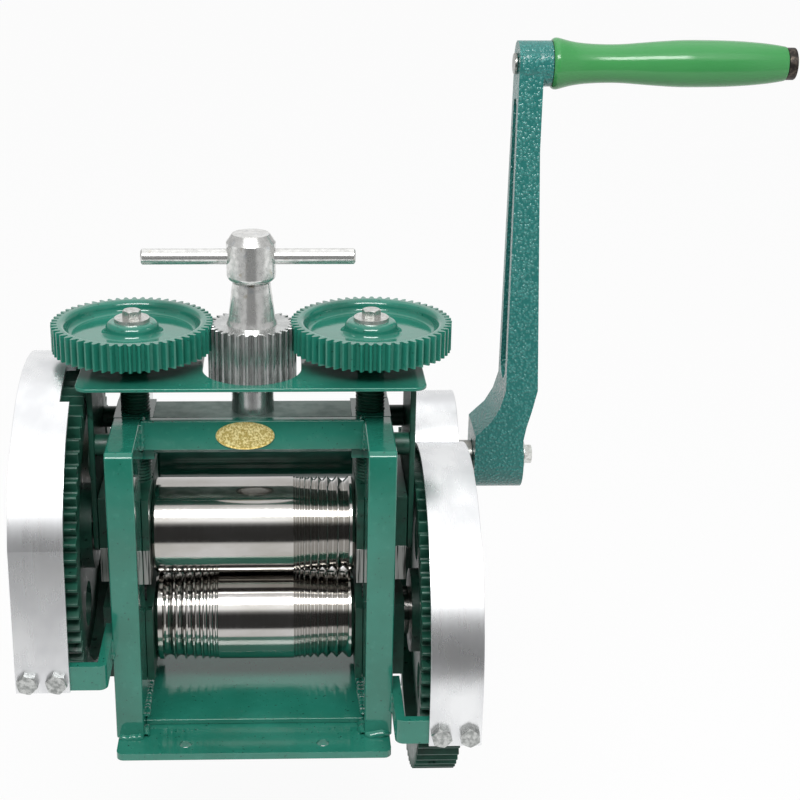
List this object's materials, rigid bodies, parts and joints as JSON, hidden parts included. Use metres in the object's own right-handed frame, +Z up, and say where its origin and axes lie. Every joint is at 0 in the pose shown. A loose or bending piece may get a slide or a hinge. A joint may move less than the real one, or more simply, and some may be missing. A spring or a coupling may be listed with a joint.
{
  "type": "hand rolling mill",
  "caption": "Hand-cranked combination rolling mill with flat and grooved rolls, geared adjusting screws, a T-handle, strap guards over its drive gears and a spinning grip.",
  "frame": {"origin": "centre of the base plate's underside, which is the centre of its bolt pattern", "axes": "+X along the rolls towards the crank, +Y away from the operator, +Z up"},
  "size_m": [0.4353, 0.238, 0.4027],
  "materials": {
    "green_enamel": "gloss",
    "hammered_green": "hammered gloss",
    "roll_steel": "ground and polished",
    "machined_steel": "turned, satin",
    "bolt_steel": "zinc plated",
    "spring_steel": "satin",
    "nickel": "nickel plated",
    "guard_aluminium": "satin",
    "brass": "polished",
    "green_plastic": "gloss",
    "dark_nut": "black oxide"
  },
  "bodies": {
    "frame": {"base_plate": "green_enamel", "bottom_tie_plate": "green_enamel", "front_crossbar": "green_enamel", "shaft_tube": "green_enamel", "screw_nuts": "green_enamel", "gear_bridge": "green_enamel", "bridge_legs": "green_enamel", "side_frame_left": "green_enamel", "side_frame_right": "green_enamel", "guard_brackets_left": "green_enamel", "guard_brackets_right": "green_enamel", "lower_block_left": "green_enamel", "lower_block_right": "green_enamel", "top_beam": "machined_steel", "bridge_standoffs": "machined_steel", "idler_pin": "machined_steel", "guard_left": "guard_aluminium", "guard_right": "guard_aluminium", "oval_badge": "brass", "lower_bushes": "brass", "crank_bushes": "brass", "guard_bolts": "bolt_steel", "idler_bolt": "bolt_steel", "lift_springs": "spring_steel"},
    "carriage": {"upper_block_left": "green_enamel", "upper_block_right": "green_enamel", "upper_shoe_left": "machined_steel", "upper_shoe_right": "machined_steel", "block_bolts": "bolt_steel"},
    "upper_bearing": {"upper_bushes": "brass"},
    "upper_roll_set": {"upper_roll": "roll_steel", "upper_drive_gear": "green_enamel", "upper_gear_key": "machined_steel", "upper_gear_bolt": "bolt_steel"},
    "lower_roll_set": {"lower_roll": "roll_steel", "lower_drive_gear": "green_enamel", "lower_gear_key": "machined_steel", "lower_gear_bolt": "bolt_steel"},
    "crank": {"crank_shaft": "machined_steel", "crank_key": "machined_steel", "grip_bolt": "machined_steel", "crank_pinions": "green_enamel", "crank_arm": "hammered_green", "crank_bolt": "bolt_steel", "grip_nut": "dark_nut"},
    "grip": {"grip": "green_plastic"},
    "idler": {"idler_gear": "green_enamel"},
    "t_handle": {"centre_spindle": "nickel", "handle_head": "nickel", "tommy_bar": "nickel", "spindle_collar": "machined_steel"},
    "left_screw": {"adjusting_screw_left": "machined_steel", "top_gear_key_left": "machined_steel", "top_gear_left": "green_enamel", "top_gear_bolt_left": "bolt_steel"},
    "right_screw": {"adjusting_screw_right": "machined_steel", "top_gear_key_right": "machined_steel", "top_gear_right": "green_enamel", "top_gear_bolt_right": "bolt_steel"}
  },
  "joints": [
    {"name": "t_handle_turn", "type": "hinge", "parent": "frame", "child": "t_handle", "pos_m": [0, 0, 0.2], "axis": [0, 0, 1], "range_deg": [-487.7, 1176.5]},
    {"name": "carriage_slide", "type": "slide", "parent": "frame", "child": "carriage", "axis": [0, 0, 1], "range_m": [-0.00145, 0.0035], "deforming": ["lift_springs"]},
    {"name": "left_screw_turn", "type": "hinge", "parent": "carriage", "child": "left_screw", "pos_m": [-0.0645, 0, 0.2], "axis": [0, 0, 1], "range_deg": [-630.5, 261.5]},
    {"name": "right_screw_turn", "type": "hinge", "parent": "carriage", "child": "right_screw", "pos_m": [0.0645, 0, 0.2], "axis": [0, 0, 1], "range_deg": [-630.5, 261.5]},
    {"name": "upper_bearing_phase", "type": "hinge", "parent": "carriage", "child": "upper_bearing", "pos_m": [0, 0, 0.1025], "axis": [1, 0, 0], "range_deg": [-2.31, 0.97]},
    {"name": "upper_roll_spin", "type": "hinge", "parent": "upper_bearing", "child": "upper_roll_set", "pos_m": [0, 0, 0.1025], "axis": [1, 0, 0], "continuous": true},
    {"name": "crank_turn", "type": "hinge", "parent": "frame", "child": "crank", "pos_m": [0, 0.1025, 0.102], "axis": [1, 0, 0], "continuous": true},
    {"name": "idler_spin", "type": "hinge", "parent": "frame", "child": "idler", "pos_m": [0, 0.0759, 0.11588], "axis": [1, 0, 0], "continuous": true},
    {"name": "lower_roll_spin", "type": "hinge", "parent": "frame", "child": "lower_roll_set", "pos_m": [0, 0, 0.047], "axis": [1, 0, 0], "continuous": true},
    {"name": "grip_spin", "type": "hinge", "parent": "crank", "child": "grip", "pos_m": [0.2, 0.1025, 0.345], "axis": [1, 0, 0], "continuous": true}
  ],
  "couplings": [
    {"joint": "t_handle_turn", "follows": "carriage_slide", "rad_per_m": 5864.3},
    {"joint": "left_screw_turn", "follows": "carriage_slide", "rad_per_m": -3141.6},
    {"joint": "right_screw_turn", "follows": "carriage_slide", "rad_per_m": -3141.6},
    {"joint": "upper_bearing_phase", "follows": "carriage_slide", "rad_per_m": -11.429},
    {"joint": "upper_roll_spin", "follows": "crank_turn", "ratio": -0.17143},
    {"joint": "idler_spin", "follows": "crank_turn", "ratio": -1},
    {"joint": "lower_roll_spin", "follows": "crank_turn", "ratio": 0.17143}
  ]
}
